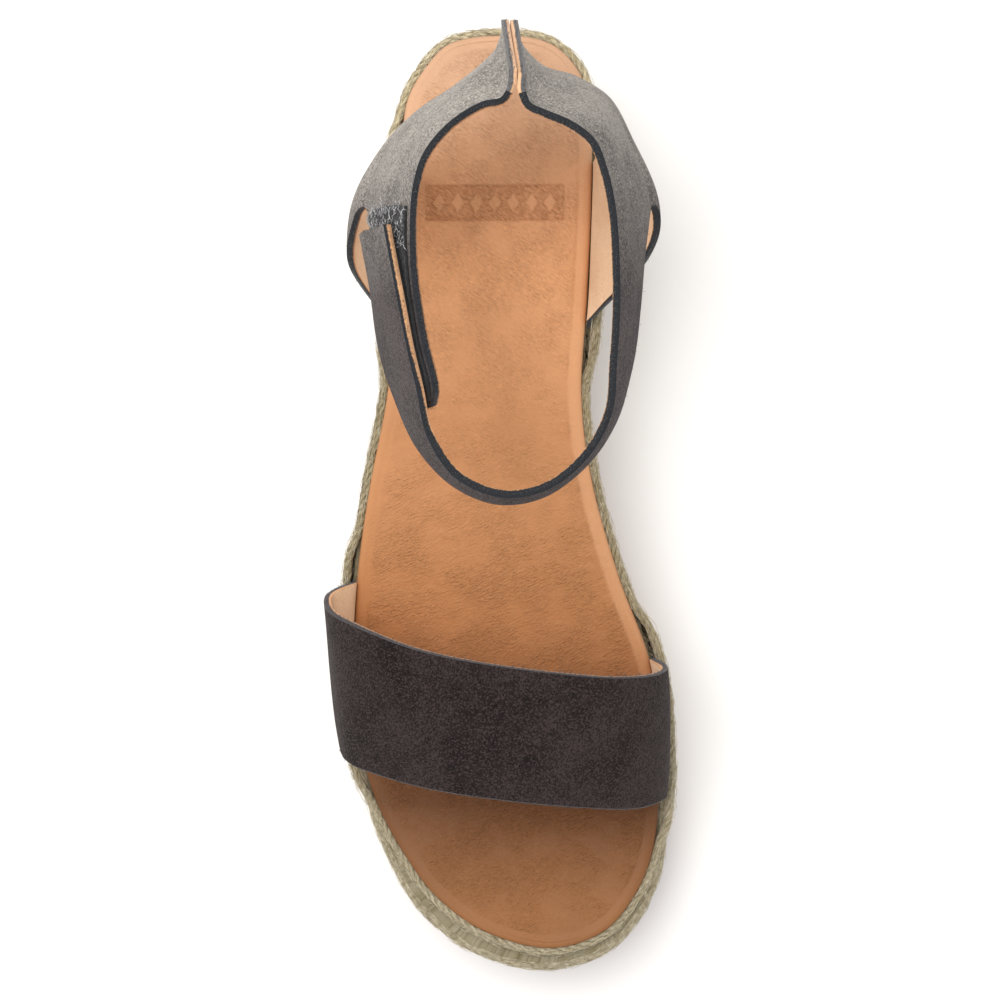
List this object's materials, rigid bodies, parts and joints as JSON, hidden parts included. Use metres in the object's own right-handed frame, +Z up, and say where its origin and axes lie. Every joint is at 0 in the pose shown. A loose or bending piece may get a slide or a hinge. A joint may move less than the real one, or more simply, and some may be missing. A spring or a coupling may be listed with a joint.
{
  "type": "wedge espadrille",
  "caption": "Open-toed wedge espadrille sandal for the right foot: suede toe band, heel quarters with a wrapped ankle strap, tan leather footbed and a wedge sole wound with jute.",
  "frame": {"origin": "on the floor, on the flat tread under the middle of the footbed", "axes": "+Z up, +Y towards the heel, -Y towards the toe, +X towards the big-toe side"},
  "size_m": [0.0936, 0.2529, 0.1298],
  "materials": {
    "rubber": "matt",
    "jute": "twisted fibre",
    "tan_leather": "satin",
    "suede": "napped",
    "hook_and_loop": "pile"
  },
  "bodies": {
    "root": {"outsole": "rubber", "jute_platform": "jute", "jute_wedge": "jute", "edge_rope": "jute", "footbed": "tan_leather", "toe_band": "suede", "quarter_tab": "suede", "quarter_strap": "suede", "closure_hook": "hook_and_loop", "closure_loop": "hook_and_loop"}
  },
  "joints": []
}
